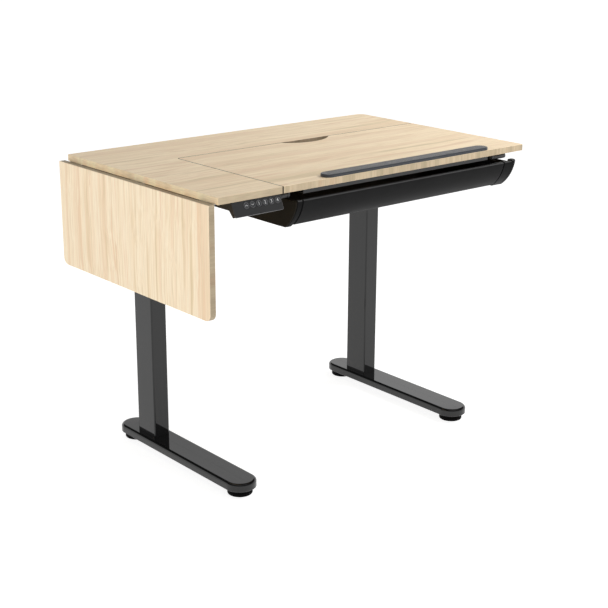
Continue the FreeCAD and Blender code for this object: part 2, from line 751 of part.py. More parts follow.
def curved_slab(x0, x1, depth, z0, z1):
    """Piece of the drawer's front between two heights, its face on the arc and its back parallel to it."""
    outer, inner = front_profile(0), front_profile(depth)
    foot_edge = Part.LineSegment(V(x0, outer(z0), z0), V(x0, inner(z0), z0)).toShape()
    top_edge = Part.LineSegment(V(x0, inner(z1), z1), V(x0, outer(z1), z1)).toShape()
    outline = [profile_arc(x0, outer, z1, z0), foot_edge, profile_arc(x0, inner, z0, z1), top_edge]
    return Part.Face(Part.Wire(outline)).extrude(V(x1 - x0, 0, 0))


def rolled_cap(x0, x1):
    """Right-hand cap: a flat part and a thicker roll, rounded down its outer edge."""
    flat = curved_slab(x0, x1 - roll_w, front_wall, drawer_bottom, drawer_top)
    roll = curved_slab(x1 - roll_w, x1, roll_depth, drawer_bottom, drawer_top + roll_rise)
    roll = round_edges(roll, cap_round_r, lambda e: near(e, x=x1, reach=0.01)
                       and e.BoundBox.ZLength > drawer_height / 2
                       and e.BoundBox.YMin < drawer_front_y + front_wall / 2)
    return flat.fuse(roll)


def drawer_tray():
    """Folded sheet tray: floor, two sides and a rear wall notched for the slides."""
    x0, x1 = drawer_left + side_step, tray_right
    tray_top = under - tray_top_drop
    z0 = drawer_bottom
    inner = front_profile(front_wall)
    straights = Part.makePolygon([V(x0, inner(tray_top), tray_top), V(x0, drawer_rear_y, tray_top),
                                  V(x0, drawer_rear_y, z0), V(x0, inner(z0), z0)])
    side = Part.Wire([profile_arc(x0, inner, z0, tray_top)] + straights.Edges)
    block = Part.Face(side).extrude(V(x1 - x0, 0, 0))
    w = tray_wall
    hollow = box(x0 + w, x1 - w, drawer_front_y, drawer_rear_y - w, z0 + w, tray_top)
    tray = block.cut(hollow)
    slide_z = under - slide_drop
    notch_z = slide_z - slide_h / 2 - slide_notch_room
    room = 3 * slide_t + 2 * moving_gap + hanger_t + slide_notch_room
    for a, b in ((x0 + w, x0 + w + room), (x1 - w - room, x1 - w)):
        tray = tray.cut(box(a, b, drawer_rear_y - w, drawer_rear_y, notch_z, tray_top))
    return tray


slide_z0 = under - slide_drop - slide_h / 2
slide_z1 = slide_z0 + slide_h


def slides():
    """Three-part slides: outer members on the hangers, middle members between, inner ones on the tray."""
    y0, y1 = slide_front_y, slide_front_y + slide_length
    inner, middle, outer, hangers = [], [], [], []
    for wall_x, inward, arm_x in ((drawer_left + side_step + tray_wall, 1, left_arm_x),
                                  (tray_right - tray_wall, -1, right_arm_x)):
        def layer(k, inset):
            a = wall_x + inward * k * (slide_t + moving_gap)
            b = a + inward * slide_t
            return box(min(a, b), max(a, b), y0, y1, slide_z0 + inset, slide_z1 - inset)
        inner.append(layer(0, slide_lap))
        middle.append(layer(1, slide_mid_lap))
        outer.append(layer(2, 0))
        face = wall_x + inward * (3 * slide_t + 2 * moving_gap)
        upright = box(min(face, face + inward * hanger_t), max(face, face + inward * hanger_t),
                      y0 + hanger_setback, y1, slide_z0, arm_bottom)
        spread = sorted((face, face + inward * hanger_t, arm_x))
        tie = box(spread[0], spread[-1], y0 + hanger_setback, y1, arm_bottom - hanger_t, arm_bottom)
        hangers.append(upright.fuse(tie).removeSplitter())
    add("slide_inner_members", *inner)
    add("slide_middle_members", *middle)
    add("slide_outer_members", *outer)
    add("slide_hangers", *hangers)


left_cap_end, right_cap_end = drawer_left + left_cap_w, drawer_right - right_cap_w
add("drawer_cap_left", curved_slab(drawer_left, left_cap_end, front_wall, drawer_bottom, drawer_top))
add("drawer_cap_right", rolled_cap(right_cap_end, drawer_right))
add("drawer_front", curved_slab(left_cap_end + cap_gap, right_cap_end - cap_gap, front_wall,
                                drawer_bottom + front_lip, drawer_top))
add("drawer_tray", drawer_tray())
slides()


# ---- handset ----
def on_face(x, down, out):
    """Point on the handset's leaning face: along X, down the face and out of it."""
    start = V(handset_left + x, handset_top_y, under - moving_gap)
    return start + face_down * down + face_out * out


def button_places():
    return [button_first + k * button_pitch for k in range(button_count)]


def handset():
    """Plate with six button holes, and the body behind it."""
    corners = [on_face(0, 0, 0), on_face(handset_width, 0, 0),
               on_face(handset_width, handset_face_h, 0), on_face(0, handset_face_h, 0)]
    plate = prism(corners, face_out * -handset_plate_t)
    low = on_face(0, handset_face_h, 0)
    plate = round_edges(plate, handset_corner_r,
                        lambda e: along(e, face_out) and e.BoundBox.ZMin < low.z + handset_corner_r)
    wells = []
    hole_r = button_r + button_gap
    for x in button_places():
        plate = plate.cut(rod(hole_r, on_face(x, button_down, 0), on_face(x, button_down, -handset_plate_t)))
        wells.append(rod(hole_r, on_face(x, button_down, -handset_plate_t),
                         on_face(x, button_down, -handset_plate_t - button_well)))
    top_z = under - moving_gap
    back_z = under - handset_back_drop
    plate_top, plate_foot = on_face(0, 0, -handset_plate_t), on_face(0, handset_face_h, -handset_plate_t)
    chin = plate_foot + V(0, chin_back, -chin_drop)
    x = plate_top.x
    outline = [V(x, plate_top.y, top_z), plate_top, plate_foot, chin, V(x, knee_y, back_z),
               V(x, handset_rear_y, back_z), V(x, handset_rear_y, top_z)]
    body = prism(outline, V(handset_width, 0, 0))
    return plate, body.cut(Part.makeCompound(wells))


plate, body = handset()
add("handset_plate", plate)
add("handset_body", body)
for number, x in enumerate(button_places(), 1):
    add("button_%d" % number, rod(button_r, on_face(x, button_down, button_proud),
                                  on_face(x, button_down, button_proud - button_h)))


# ---- control box with its power inlet ----
def inlet_block():
    """Outside of the power inlet."""
    cx, z0 = box_left + box_width / 2, under - box_h / 2 - inlet_h / 2
    y1 = box_front_y + box_depth
    return cx, z0, y1, box(cx - inlet_w / 2, cx + inlet_w / 2, y1 - inlet_t, y1, z0, z0 + inlet_h)


def control_box():
    case = box(box_left, box_left + box_width, box_front_y, box_front_y + box_depth, under - box_h, under)
    case = round_edges(case, box_corner_r, lambda e: along(e, Z_AXIS))
    return case.cut(inlet_block()[3])


def power_inlet():
    """Socket for a detachable mains lead, with its three pins."""
    cx, z0, y1, outside = inlet_block()
    w = inlet_wall
    hollow = box(cx - inlet_w / 2 + w, cx + inlet_w / 2 - w, y1 - inlet_t + w, y1, z0 + w, z0 + inlet_h - w)
    row_z = z0 + inlet_h / 2
    places = ((-inlet_pitch, row_z), (inlet_pitch, row_z), (0, row_z + inlet_pin_rise))
    prongs = [rod(inlet_pin_r, V(cx + dx, y1 - inlet_t + w, z), V(cx + dx, y1 - w, z)) for dx, z in places]
    return outside.cut(hollow).multiFuse(prongs)


add("control_box", control_box())
add("power_inlet", power_inlet())


os.makedirs("parts", exist_ok=True)
for name, shape in parts.items():
    shape.exportStep("parts/" + name + ".step")

whole = Part.makeCompound(list(parts.values())).BoundBox
print("nodes", len(parts))
print("box", [round(v, 2) for v in (whole.XMin, whole.XMax, whole.YMin, whole.YMax, whole.ZMin, whole.ZMax)])
print("origin", [round(v, 3) for v in origin])
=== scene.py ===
import json
import math

import bmesh
import bpy
from mathutils import Matrix, Vector


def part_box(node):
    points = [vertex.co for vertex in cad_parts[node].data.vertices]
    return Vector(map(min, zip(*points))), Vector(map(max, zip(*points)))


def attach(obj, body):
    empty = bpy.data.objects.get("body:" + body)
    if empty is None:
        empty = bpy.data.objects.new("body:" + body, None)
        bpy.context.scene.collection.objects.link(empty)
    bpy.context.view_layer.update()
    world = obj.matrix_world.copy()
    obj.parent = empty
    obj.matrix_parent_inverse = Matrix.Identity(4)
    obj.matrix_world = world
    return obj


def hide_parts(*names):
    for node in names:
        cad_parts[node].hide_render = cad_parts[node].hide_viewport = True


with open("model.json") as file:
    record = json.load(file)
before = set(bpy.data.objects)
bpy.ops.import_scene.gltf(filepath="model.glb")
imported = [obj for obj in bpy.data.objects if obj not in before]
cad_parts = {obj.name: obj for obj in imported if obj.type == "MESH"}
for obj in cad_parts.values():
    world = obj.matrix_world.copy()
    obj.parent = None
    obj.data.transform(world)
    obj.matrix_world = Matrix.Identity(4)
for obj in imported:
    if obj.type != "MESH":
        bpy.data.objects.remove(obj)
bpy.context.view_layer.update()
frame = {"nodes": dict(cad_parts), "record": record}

# Looks of the sit-stand desk. Lengths are in metres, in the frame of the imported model: +X runs to
# the right along the long side, +Y runs back from the user, +Z is up.

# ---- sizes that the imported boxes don't give ----
SEAM = 0.0016               # gap between the panel and the fixed top
EDGE_R = 0.0009             # arris of the laminated boards
LEAF_EDGE_R = 0.00117
CORNER_R = 0.002            # boards' other corners
PANEL_CORNER_R = 0.004      # panel's right front corner
SEAM_CORNER_R = 0.010       # panel's left rear corner, in the seam
TOP_REAR_R = 0.025          # fixed top's right rear corner
LEAF_CORNER_R = 0.020       # leaf's two free corners
FLAT = 0.97                 # a face whose normal's Z is past this is a top or an underside
TURNED = 0.3                # a face turned this far to a side counts as part of that side
SEAM_REACH = 0.002          # how far past the seam its faces are looked for
HINGE_SEAT_GAP = 0.00005    # the raised leaf's face clears the hinge plates it lies over
NOTCH_CHORD = 0.186
NOTCH_DEPTH = 0.040
NOTCH_OFFSET = 0.005        # to the right of the panel's middle
NOTCH_STEPS = 40
STOP_EDGE_R = 0.0025
STOP_FOOT = 0.0004          # bevel where the stop meets the panel
RIB_FIRST = 0.0040          # outermost groove, in from the stop's outline
RIB_PITCH = 0.0021
RIB_COUNT = 8
GROOVE_DEPTH = 0.00035
GROOVE_RUN = 0.0003         # width of each groove's sides and floor
FOOT_EDGE_R = 0.008
FOOT_LIP_R = 0.0008         # lower rim of the pressing
FOOT_WALL = 0.003
BOSS_R = 0.012              # bosses that take the pads' studs
BOSS_BEVEL = 0.0005
PAD_GRIP_TOP = 0.0095       # top of the pad's gripped ring
PAD_LOBES = 40
PAD_LOBE_DEPTH = 0.0009
TUBE_R = 0.004
TUBE_WALL = 0.002
TUBE_BURR = 0.0003          # bevel on the tubes' cut ends
TUBE_CLEARANCE = 0.0001     # taken off the lifting tubes' wall, inside
ARC_R = 0.116               # drawer front, seen from the side
ARC_RISE = 0.0166
FLANGE_T = 0.0035           # drawer side's edge, seen beside the left cap
FLANGE_GAP = 0.0015
FLANGE_TRIM = 0.0005        # edge's setback from the cap's outline, twice this at the top
FLANGE_CORNER_R = 0.0008
FLANGE_RIM_R = 0.0005
FRONT_WALL = 0.012
FRONT_CORNER_R = 0.0012
FRONT_RIM_R = 0.0010        # ends of the front and of the caps
FRONT_TOP_R = 0.0040        # where the face turns over at the top
WEB_INSET = 0.002           # web that joins the left cap to the side's edge
WEB_CORNER_R = 0.0003
WEB_RIM_R = 0.0002
CAP_SETBACK = 0.0004        # right cap's face, behind the roll's
ROLL_W = 0.020              # thicker roll at the right cap's outer end
ROLL_DEPTH = 0.018
ROLL_RISE = 0.003
ROLL_R = 0.011
ROLL_LAP = 0.002            # how far the cap's length runs into the roll
LEAN = math.radians(25)     # handset's face from upright
PLATE_T = 0.003
PLATE_TOP_R = 0.0008        # plate's upper corners
PLATE_LOW_R = 0.005         # plate's lower corners
PLATE_RIM_R = 0.0007
HIGHLIGHT_RIM = 0.006            # painted highlight: the plate's rim is paler this near its lower and right edges
HIGHLIGHT_RIM_DEPTH = 0.0012
BUTTON_R = 0.0082
BUTTON_GAP = 0.0005
BUTTON_PROUD = 0.0003       # how far a button stands out of the plate
BUTTON_DEPTH = 0.0036
BUTTON_EDGE_R = 0.0004
BUTTON_DISH = ((0.0001, 0.0020), (0.00025, 0.0045))     # depth and inset of the hollow on top
HOLE_BEVEL = 0.0005
CUT_PAST = 0.0001           # how far the hole cutters stand out of the plate
RING_INSET = 0.0006         # from the button's edge to its printed ring
RING_W = 0.00055
PRINT_T = 0.00008           # thickness of print on a button
PRINT_ROOT = 0.0002         # print's depth below the button's top
ARROW_HALF = 0.0033         # half an arrow's width
ARROW_RISE = 0.0022
ARROW_STROKE = 0.0010
DIGIT_HEIGHT = 0.0112
ARROW_BUTTONS = 2           # the first two carry arrows, the others numbers


# ---------------------------------------------------------------- shader helpers
def new_tree(name):
    material = bpy.data.materials.new(name)
    material.use_nodes = True
    tree = material.node_tree
    return material, tree, tree.nodes["Principled BSDF"]


def node(tree, kind, inputs=None, **settings):
    """Adds a node; inputs are values or sockets, by name or number."""
    made = tree.nodes.new(kind)
    for key, value in settings.items():
        setattr(made, key, value)
    for key, value in (inputs or {}).items():
        if isinstance(value, bpy.types.NodeSocket):
            tree.links.new(value, made.inputs[key])
        else:
            made.inputs[key].default_value = value
    return made


def linear(r, g, b):
    """Scene-linear colour from 0 to 255 values on the screen."""
    parts = [c / 255 for c in (r, g, b)]
    return tuple(p / 12.92 if p < 0.04045 else ((p + 0.055) / 1.055) ** 2.4 for p in parts) + (1.0,)


def shaded(tones, k):
    """Tones made brighter or darker by a factor, for copies of a tone set with painted light or shade."""
    return tuple(tuple(min(1.0, c * k) for c in tone[:3]) + (1.0,) for tone in tones)


def ramp(tree, fac, stops):
    made = node(tree, "ShaderNodeValToRGB", {"Fac": fac})
    points = made.color_ramp.elements
    while len(points) < len(stops):
        points.new(0.5)
    for point, (place, colour) in zip(points, stops):
        point.position = place
        point.color = colour
    return made.outputs["Color"]


def grey(v):
    return (v, v, v, 1.0)


def noise(tree, vector, stretch, detail=3.0, roughness=0.55, distortion=0.0):
    """Noise on coordinates scaled per axis, in features per metre."""
    scaled = node(tree, "ShaderNodeVectorMath", {0: vector, 1: stretch}, operation="MULTIPLY")
    made = node(tree, "ShaderNodeTexNoise", {"Vector": scaled.outputs[0], "Scale": 1.0, "Detail": detail,
                                             "Roughness": roughness, "Distortion": distortion})
    return made.outputs["Fac"]


def mix(tree, fac, a, b, how="MIX"):
    made = node(tree, "ShaderNodeMix", {0: fac, 6: a, 7: b}, data_type="RGBA", blend_type=how)
    return made.outputs[2]


def bump(tree, shader, height, distance, strength=1.0):
    made = node(tree, "ShaderNodeBump", {"Height": height, "Distance": distance, "Strength": strength})
    tree.links.new(made.outputs["Normal"], shader.inputs["Normal"])


def place(tree):
    return node(tree, "ShaderNodeTexCoord").outputs["Object"]


# ---------------------------------------------------------------- materials
def wood_face(name, grain, tones, shift, bands=26.0):
    """Pale ash laminate: soft bands, thin darker veins and fine fibres, all along the grain."""
    material, tree, shader = new_tree(name)
    start = node(tree, "ShaderNodeVectorMath", {0: place(tree), 1: shift}, operation="ADD").outputs[0]

    def stretch(along, across):
        return tuple(along if axis == grain else across for axis in "XYZ")

    wander = noise(tree, start, stretch(2.6, 5.0), 2.0)
    drift = node(tree, "ShaderNodeVectorMath", {0: wander, 1: stretch(0.0, 0.05)},
                 operation="MULTIPLY").outputs[0]
    wavy = node(tree, "ShaderNodeVectorMath", {0: start, 1: drift}, operation="ADD").outputs[0]
    light, base, pink, dun = tones
    colour = ramp(tree, noise(tree, wavy, stretch(0.9, bands), 4.0, 0.65),
                  [(0.34, dun), (0.42, base), (0.47, light), (0.53, base), (0.58, light), (0.64, pink)])
    blush = ramp(tree, noise(tree, wavy, stretch(0.7, 0.65 * bands), 2.0),
                 [(0.52, grey(0)), (0.62, grey(0.6))])
    colour = mix(tree, blush, colour, pink)
    veins = ramp(tree, noise(tree, wavy, stretch(1.1, 150.0), 3.0, 0.6),
                 [(0.54, grey(0)), (0.66, grey(0.55))])
    colour = mix(tree, veins, colour, dun)
    fibre = ramp(tree, noise(tree, wavy, stretch(7.0, 620.0), 2.0), [(0.30, grey(0.90)), (0.62, grey(1.0))])
    colour = mix(tree, 0.8, colour, fibre, "MULTIPLY")
    tree.links.new(colour, shader.inputs["Base Color"])
    tree.links.new(ramp(tree, fibre, [(0.0, grey(0.52)), (1.0, grey(0.44))]), shader.inputs["Roughness"])
    shader.inputs["Specular IOR Level"].default_value = 0.12
    bump(tree, shader, fibre, 0.00008, 0.35)
    return material


def wood_edge(name, along, block, fine, tones):
    """Edge banding: short blocks of tone along the edge, crossed by fine lines."""
    material, tree, shader = new_tree(name)
    start = place(tree)

    def stretch(a, b):
        return tuple(a if axis == along else b for axis in "XYZ")

    light, base, dark, pink = tones
    blocks = noise(tree, start, stretch(block, 1.5), 2.0, 0.7)
    colour = ramp(tree, blocks, [(0.34, dark), (0.47, base), (0.56, light), (0.68, pink)])
    lines = ramp(tree, noise(tree, start, fine, 2.0), [(0.35, grey(0.86)), (0.62, grey(1.0))])
    colour = mix(tree, 0.9, colour, lines, "MULTIPLY")
    tree.links.new(colour, shader.inputs["Base Color"])
    shader.inputs["Roughness"].default_value = 0.5
    bump(tree, shader, lines, 0.00006, 0.3)
    return material


def paint(name, colour, rough, peel, specular=0.5):
    """Baked paint: a clear dark gloss over a faint orange peel."""
    material, tree, shader = new_tree(name)
    start = place(tree)
    tone = noise(tree, start, (38.0, 38.0, 38.0), 3.0)
    darker = tuple(c * 0.82 for c in colour[:3]) + (1.0,)
    tree.links.new(ramp(tree, tone, [(0.35, darker), (0.65, colour)]), shader.inputs["Base Color"])
    shader.inputs["Specular IOR Level"].default_value = specular
    low, high = rough
    tree.links.new(ramp(tree, tone, [(0.3, grey(low)), (0.7, grey(high))]), shader.inputs["Roughness"])
    bump(tree, shader, noise(tree, start, (420.0, 420.0, 420.0), 2.0), peel, 0.5)
    return material


def plastic(name, colour, rough, grain, specular=0.5, cell=1500.0):
    """Moulded plastic with a fine grained surface."""
    material, tree, shader = new_tree(name)
    start = place(tree)
    tone = noise(tree, start, (22.0, 22.0, 22.0), 2.0)
    shader.inputs["Specular IOR Level"].default_value = specular
    darker = tuple(c * 0.86 for c in colour[:3]) + (1.0,)
    tree.links.new(ramp(tree, tone, [(0.3, darker), (0.7, colour)]), shader.inputs["Base Color"])
    tree.links.new(ramp(tree, tone, [(0.3, grey(rough - 0.04)), (0.7, grey(rough + 0.04))]),
                   shader.inputs["Roughness"])
    bump(tree, shader, noise(tree, start, (cell, cell, cell), 2.0), grain, 0.6)
    return material


def metal(name, colour, rough, stretch):
    """Plated or machined metal with fine marks."""
    material, tree, shader = new_tree(name)
    start = place(tree)
    marks = noise(tree, start, stretch, 3.0, 0.6)
    darker = tuple(c * 0.8 for c in colour[:3]) + (1.0,)
    tree.links.new(ramp(tree, marks, [(0.3, darker), (0.7, colour)]), shader.inputs["Base Color"])
    tree.links.new(ramp(tree, marks, [(0.3, grey(rough - 0.06)), (0.7, grey(rough + 0.08))]),
                   shader.inputs["Roughness"])
    shader.inputs["Metallic"].default_value = 1.0
    bump(tree, shader, marks, 0.00004, 0.3)
    return material


TOP_TONES = (linear(246, 226, 193), linear(237, 213, 178), linear(230, 201, 166), linear(217, 195, 157))
LEAF_TONES = (linear(253, 236, 207), linear(246, 224, 191), linear(239, 210, 176), linear(228, 205, 168))
EDGE_TONES = (linear(205, 186, 154), linear(195, 175, 144), linear(181, 163, 132), linear(196, 170, 138))
RAW_TONES = (linear(164, 146, 121), linear(152, 134, 109), linear(134, 117, 94), linear(156, 134, 109))

WOOD_TOP = wood_face("wood_top", "X", TOP_TONES, (0.0, 0.0, 0.0))
WOOD_PANEL = wood_face("wood_panel", "X", TOP_TONES, (3.1, 1.7, 0.0))
WOOD_LEAF = wood_face("wood_leaf", "Z", LEAF_TONES, (0.0, 2.3, 1.1), 44.0)
EDGE_PANEL = wood_edge("wood_edge_panel", "X", 34.0, (330.0, 330.0, 25.0), EDGE_TONES)
# painted light: the fixed top's left edge uses the banding's tones made 1.75 times brighter
EDGE_LEFT_LIT = wood_edge("wood_edge_left_lit", "Y", 9.0, (30.0, 30.0, 420.0), shaded(EDGE_TONES, 1.75))
# painted shade: the fixed top's other edges use the banding's tones darkened to 0.92
EDGE_FIXED_SHADED = wood_edge("wood_edge_fixed_shaded", "X", 4.0, (30.0, 30.0, 420.0), shaded(EDGE_TONES, 0.92))
# painted shade: the leaf's edges use the banding's tones darkened to 0.72
EDGE_LEAF_SHADED = wood_edge("wood_edge_leaf_shaded", "Z", 9.0, (30.0, 30.0, 330.0), shaded(EDGE_TONES, 0.72))
RAW_EDGE = wood_edge("raw_edge", "X", 30.0, (700.0, 700.0, 700.0), RAW_TONES)
# painted shade: the faces along the seam are darkened to stand for the shadow in the gap
PAINTED_SEAM_SHADE = wood_edge("painted_seam_shade", "X", 30.0, (700.0, 700.0, 700.0), shaded(RAW_TONES, 0.11))
BLACK_PAINT = paint("black_paint", (0.005, 0.005, 0.0051, 1.0), (0.02, 0.05), 0.00001)
FRAME_PAINT = paint("frame_paint", (0.014, 0.014, 0.015, 1.0), (0.28, 0.36), 0.00003)
DRAWER_PLASTIC = plastic("drawer_plastic", (0.0125, 0.0125, 0.0127, 1.0), 0.34, 0.00003, 0.03)
CAP_PLASTIC = plastic("cap_plastic", (0.0085, 0.0085, 0.0086, 1.0), 0.34, 0.00003, 0.03)
# painted highlight along the drawer's rounded top edge
DRAWER_EDGE_HIGHLIGHT = plastic("drawer_edge_highlight", (0.055, 0.055, 0.056, 1.0), 0.34, 0.00003, 0.1)
TRAY_PAINT = paint("tray_paint", (0.014, 0.0115, 0.0075, 1.0), (0.55, 0.62), 0.00002, 0.06)
HANDSET_FACE = plastic("handset_face", (0.017, 0.0172, 0.018, 1.0), 0.30, 0.00002)
# painted highlight on the plate's lower and right rim
HANDSET_RIM_HIGHLIGHT = plastic("handset_rim_highlight", (0.15, 0.151, 0.154, 1.0), 0.30, 0.00002)
HANDSET_SHELL = plastic("handset_shell", (0.010, 0.0085, 0.006, 1.0), 0.50, 0.00004)
BUTTON_PLASTIC = plastic("button_plastic", (0.030, 0.031, 0.034, 1.0), 0.34, 0.00002)
INK = plastic("printed_ink", (0.66, 0.66, 0.66, 1.0), 0.45, 0.00001)
RING_INK = plastic("ring_ink", (0.20, 0.20, 0.205, 1.0), 0.45, 0.00001)
STOP_RUBBER = plastic("stop_rubber", (0.026, 0.030, 0.037, 1.0), 0.40, 0.00003, 0.5, 900.0)
STOP_FACE = plastic("stop_face", (0.105, 0.105, 0.105, 1.0), 0.36, 0.00003, 0.5, 900.0)
ZINC = metal("zinc_plate", (0.55, 0.56, 0.58, 1.0), 0.32, (60.0, 700.0, 60.0))
BRASS = metal("turned_brass", (0.72, 0.52, 0.22, 1.0), 0.30, (60.0, 60.0, 900.0))
GLIDE = plastic("glide_plastic", (0.030, 0.030, 0.031, 1.0), 0.40, 0.00003)
PAD_PLASTIC = plastic("pad_plastic", (0.0025, 0.0025, 0.0026, 1.0), 0.34, 0.00003, 0.03)
BOX_PLASTIC = plastic("box_plastic", (0.024, 0.024, 0.026, 1.0), 0.48, 0.00006, 0.5, 900.0)

SLOT_MATERIALS = {
    "pale_wood": WOOD_TOP, "black_steel": FRAME_PAINT, "drawer_plastic": DRAWER_PLASTIC,
    "drawer_steel": TRAY_PAINT, "handset_plastic": HANDSET_FACE, "handset_shell": HANDSET_SHELL,
    "button_plastic": BUTTON_PLASTIC, "stop_rubber": STOP_RUBBER, "zinc_steel": ZINC,
    "nut_brass": BRASS, "glide_plastic": GLIDE, "pad_plastic": PAD_PLASTIC, "box_plastic": BOX_PLASTIC,
}


# ---------------------------------------------------------------- mesh helpers
def corner_loop(corners, steps=10):
    """Closed outline from (u, v, radius) corners; each is turned with an arc of its radius."""
    loop = []
    count = len(corners)
    for k, (u, v, r) in enumerate(corners):
        here = Vector((u, v))
        back = (Vector(corners[k - 1][:2]) - here).normalized()
        ahead = (Vector(corners[(k + 1) % count][:2]) - here).normalized()
        half = math.acos(max(-1.0, min(1.0, back.dot(ahead)))) / 2
        if r <= 0:
            loop.append(here)
            continue
        centre = here + (back + ahead).normalized() * (r / math.sin(half))
        start = here + back * (r / math.tan(half)) - centre
        end = here + ahead * (r / math.tan(half)) - centre
        turn = start.angle_signed(end)
        loop += [centre + Matrix.Rotation(-turn * i / steps, 2) @ start for i in range(steps + 1)]
    return loop


def inset(loop, distance):
    """Outline moved inwards by a distance; the loop runs anticlockwise."""
    moved = []
    count = len(loop)
    for k, here in enumerate(loop):
        a = (here - loop[k - 1]).normalized()
        b = (loop[(k + 1) % count] - here).normalized()
        normal = Vector((-a.y - b.y, a.x + b.x)).normalized()
        reach = distance / max(0.2, normal.dot(Vector((-a.y, a.x))))
        moved.append(here + normal * reach)
    return moved


def anticlockwise(loop):
    area = sum(loop[k - 1].cross(loop[k]) for k in range(len(loop)))
    return loop if area > 0 else loop[::-1]


def quarter(r, steps):
    """(distance short of the face, inset) pairs along a quarter round, from the side to the face."""
    angles = [math.pi / 2 * k / steps for k in range(steps + 1)]
    return [(r * (1 - math.sin(a)), r * (1 - math.cos(a))) for a in angles]


def rim(low, high, r, steps=4):
    """(height, inset) pairs of a slab whose two rims are rounded."""
    turn = quarter(r, steps)
    return [(low + short, d) for short, d in reversed(turn)] + [(high - short, d) for short, d in turn]


def finish_mesh(name, bm, material, body, sharp=35.0):
    """Turns a bmesh into a piece riding on a body, smooth up to an angle in degrees."""
    bmesh.ops.remove_doubles(bm, verts=bm.verts, dist=1e-7)
    bmesh.ops.recalc_face_normals(bm, faces=bm.faces)
    for edge in bm.edges:
        edge.smooth = not (len(edge.link_faces) == 2 and edge.calc_face_angle(0.0) > math.radians(sharp))
    for face in bm.faces:
        face.smooth = True
    mesh = bpy.data.meshes.new(name)
    bm.to_mesh(mesh)
    bm.free()
    piece = bpy.data.objects.new(name, mesh)
    bpy.context.scene.collection.objects.link(piece)
    for one in (material if isinstance(material, (list, tuple)) else [material]):
        mesh.materials.append(one)
    weighted = piece.modifiers.new("normals", "WEIGHTED_NORMAL")
    weighted.keep_sharp = True
    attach(piece, body)
    return piece


def to_space(axis, u, v, w):
    """Point from an outline's (u, v) and the height w along an axis."""
    return {"x": (w, u, v), "y": (u, w, v), "z": (u, v, w)}[axis]


def stack(bm, axis, loops, close=False):
    """Skins a stack of (height, loop) rings; capped at both ends, or joined last to first."""
    rings = [[bm.verts.new(to_space(axis, p.x, p.y, w)) for p in loop] for w, loop in loops]
    pairs = list(zip(rings, rings[1:])) + ([(rings[-1], rings[0])] if close else [])
    for a, b in pairs:
        for k in range(len(a)):
            bm.faces.new((a[k - 1], a[k], b[k], b[k - 1]))
    if not close:
        bm.faces.new(rings[0][::-1])
        bm.faces.new(rings[-1])


def slab(name, loop, axis, heights, material, body, sharp=35.0):
    """Solid with one outline across an axis, its rims shaped by (height, inset) pairs."""
    loop = anticlockwise(loop)
    bm = bmesh.new()
    stack(bm, axis, [(w, inset(loop, d) if d else loop) for w, d in heights])
    return finish_mesh(name, bm, material, body, sharp)


def paint_edges(piece, axis, limit=0.5):
    """Second material on the faces that don't look along the axis."""
    index = "xyz".index(axis)
    for face in piece.data.polygons:
        face.material_index = 0 if abs(face.normal[index]) > limit else 1


def circle(cu, cv, r, count=48):
    turns = [2 * math.pi * k / count for k in range(count)]
    return [Vector((cu + r * math.cos(t), cv + r * math.sin(t))) for t in turns]


# ---------------------------------------------------------------- boards
def notch_middle():
    low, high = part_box("tilt_board")
    return (low.x - SEAM + high.x) / 2 + NOTCH_OFFSET


def fixed_top():
    """L-shaped board; its edge along the seam is raw wood at the notch and painted shade elsewhere."""
    low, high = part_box("fixed_board")
    panel_low, panel_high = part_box("tilt_board")
    x_in = panel_low.x - SEAM
    y_in = panel_high.y + SEAM
    notch_x = notch_middle()
    loop = corner_loop([
        (low.x, low.y, CORNER_R), (x_in, low.y, CORNER_R), (x_in, y_in, SEAM_CORNER_R + SEAM),
        (notch_x - NOTCH_CHORD / 2, y_in, 0.0), (notch_x + NOTCH_CHORD / 2, y_in, 0.0),
        (high.x, y_in, CORNER_R), (high.x, high.y, TOP_REAR_R), (low.x, high.y, CORNER_R)])
    piece = slab("fixed_top", loop, "z", rim(low.z, high.z, EDGE_R),
                 [WOOD_TOP, EDGE_FIXED_SHADED, RAW_EDGE, EDGE_LEFT_LIT, PAINTED_SEAM_SHADE], "lift_frame")
    raw, left, seam = 2, 3, 4
    paint_edges(piece, "z")
    for face in piece.data.polygons:
        middle, normal = face.center, face.normal
        if abs(normal.z) > FLAT:
            continue
        # the left edge takes the brightened copy, painted light
        if normal.x < -0.5 and middle.x < low.x + CORNER_R:
            face.material_index = left
        by_side = normal.x > TURNED and x_in - SEAM_REACH < middle.x < x_in + SEAM_CORNER_R
        by_rear = normal.y < -TURNED and y_in - SEAM_CORNER_R < middle.y < y_in + SEAM_REACH
        # the faces along the seam take the painted shade, save at the notch
        if by_side or by_rear:
            face.material_index = raw if abs(middle.x - notch_x) < NOTCH_CHORD / 2 else seam
    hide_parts("fixed_board")


